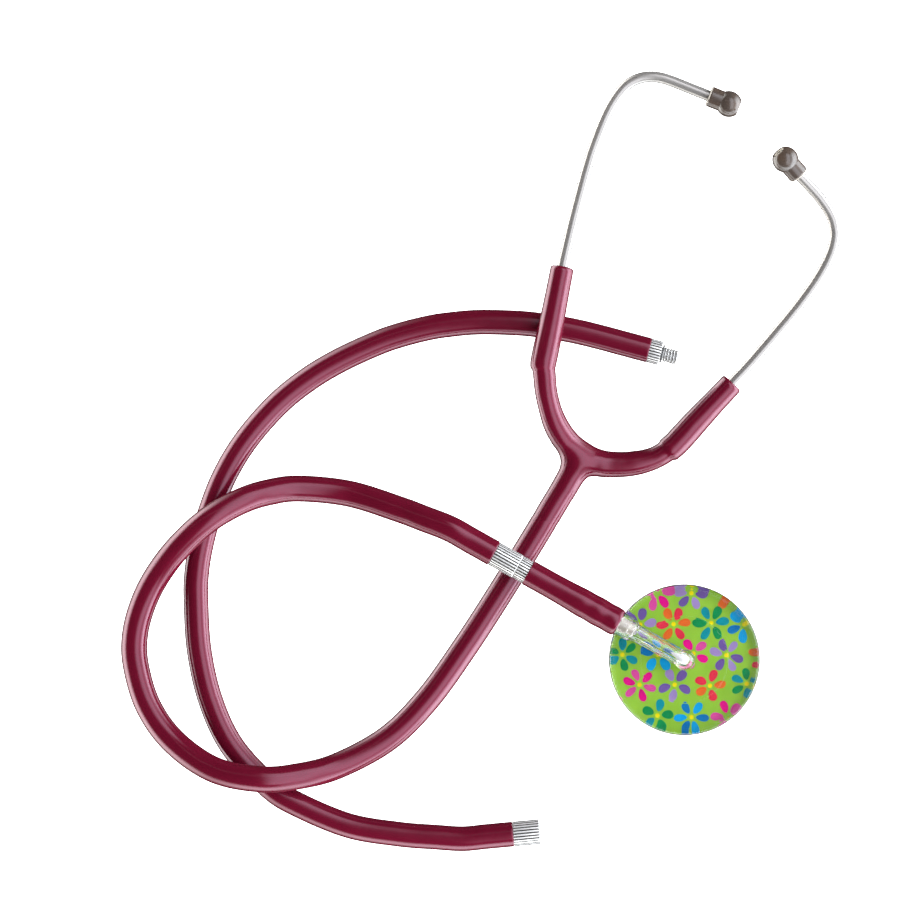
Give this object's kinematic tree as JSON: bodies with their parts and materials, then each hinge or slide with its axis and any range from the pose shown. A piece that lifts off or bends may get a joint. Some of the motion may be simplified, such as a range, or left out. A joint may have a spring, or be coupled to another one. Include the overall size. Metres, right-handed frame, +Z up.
{
  "type": "stethoscope",
  "caption": "Lightweight stethoscope with a clear, flower-print chestpiece, a screw coupling in its tubing and a spare extension tube lying under it.",
  "frame": {"origin": "centre of the headset and chestpiece in plan, on the table they lie on", "axes": "+Z up from the table, +Y from the chestpiece towards the ear tips"},
  "size_m": [0.2723, 0.2953, 0.0217],
  "materials": {
    "burgundy_pvc": "moulded burgundy PVC, semi-gloss",
    "ear_tube_chrome": "bright chrome-plated tube",
    "knurled_steel": "bright, straight-knurled",
    "spring_steel": "blued spring strip",
    "smoky_silicone": "glossy smoky grey-brown, slightly see-through",
    "cream_plastic": "moulded, satin",
    "clear_acrylic": "polished clear acrylic",
    "flower_print": "lime green print of coloured flowers",
    "white_plastic": "satin white",
    "black_rubber": "matt"
  },
  "bodies": {
    "spare_tube": {"extension_hose": "burgundy_pvc", "extension_hose_end_upper": "burgundy_pvc", "extension_hose_end_lower": "burgundy_pvc", "extension_plug": "knurled_steel", "extension_socket": "knurled_steel", "extension_o_ring": "black_rubber"},
    "main_tube": {"y_junction": "burgundy_pvc", "leaf_spring": "spring_steel", "main_hose": "burgundy_pvc", "main_hose_end": "burgundy_pvc", "coupling_socket": "knurled_steel"},
    "left_arm": {"y_arm_left": "burgundy_pvc"},
    "right_arm": {"y_arm_right": "burgundy_pvc"},
    "left_ear_tube": {"ear_tube_left": "ear_tube_chrome", "ear_tube_ferrule_left": "knurled_steel", "ear_tip_bush_left": "cream_plastic"},
    "right_ear_tube": {"ear_tube_right": "ear_tube_chrome", "ear_tube_ferrule_right": "knurled_steel", "ear_tip_bush_right": "cream_plastic"},
    "left_ear_tip": {"ear_tip_left": "smoky_silicone"},
    "right_ear_tip": {"ear_tip_right": "smoky_silicone"},
    "coupling_seal": {"coupling_o_ring": "black_rubber"},
    "chest_tube": {"coupling_plug": "knurled_steel", "chest_hose": "burgundy_pvc", "chest_nipple": "cream_plastic"},
    "chestpiece": {"chest_stem": "clear_acrylic", "chest_body": "clear_acrylic", "pattern_disc": "flower_print", "chest_base": "white_plastic", "diaphragm": "white_plastic", "diaphragm_ring": "clear_acrylic"}
  },
  "joints": [
    {"name": "lift_off_spare", "type": "slide", "parent": "spare_tube", "child": "main_tube", "axis": [0, 0, 1], "range_m": [0, 0.06]},
    {"name": "left_arm_flex", "type": "hinge", "parent": "main_tube", "child": "left_arm", "pos_m": [-0.0533, 0.01495, 0.016], "axis": [0, 0, 1], "range_deg": [-4, 20], "stiffness_Nm_per_rad": 0.8},
    {"name": "right_arm_flex", "type": "hinge", "parent": "main_tube", "child": "right_arm", "pos_m": [-0.00375, -0.01545, 0.0052], "axis": [0, 0, 1], "range_deg": [-20, 4], "stiffness_Nm_per_rad": 0.8},
    {"name": "left_ear_tube_turn", "type": "hinge", "parent": "left_arm", "child": "left_ear_tube", "pos_m": [-0.0462, 0.05165, 0.01306], "axis": [-0.1894, -0.9788, 0.0784], "range_deg": [0, 60]},
    {"name": "right_ear_tube_turn", "type": "hinge", "parent": "right_arm", "child": "right_ear_tube", "pos_m": [0.0182, 0.00785, 0.0052], "axis": [0.6857, 0.7279, 0], "range_deg": [-12, 45]},
    {"name": "left_ear_tip_pull", "type": "slide", "parent": "left_ear_tube", "child": "left_ear_tip", "axis": [0.928, -0.3712, -0.0315], "range_m": [0, 0.012]},
    {"name": "right_ear_tip_pull", "type": "slide", "parent": "right_ear_tube", "child": "right_ear_tip", "axis": [-0.6402, 0.7236, 0.2578], "range_m": [0, 0.012]},
    {"name": "coupling_draw", "type": "slide", "parent": "main_tube", "child": "coupling_seal", "axis": [0.8729, -0.4879, 0], "range_m": [0, 0.0055]},
    {"name": "coupling_turn", "type": "hinge", "parent": "coupling_seal", "child": "chest_tube", "pos_m": [-0.06298, -0.0618, 0.0151], "axis": [0.8729, -0.4879, 0], "range_deg": [0, 1801]},
    {"name": "chestpiece_swivel", "type": "hinge", "parent": "chest_tube", "child": "chestpiece", "pos_m": [-0.0247, -0.08319, 0.0151], "axis": [0.8729, -0.4879, 0], "range_deg": [-180, 180]}
  ],
  "couplings": [
    {"joint": "right_arm_flex", "follows": "left_arm_flex", "ratio": -1},
    {"joint": "coupling_turn", "follows": "coupling_draw", "rad_per_m": 5712}
  ]
}
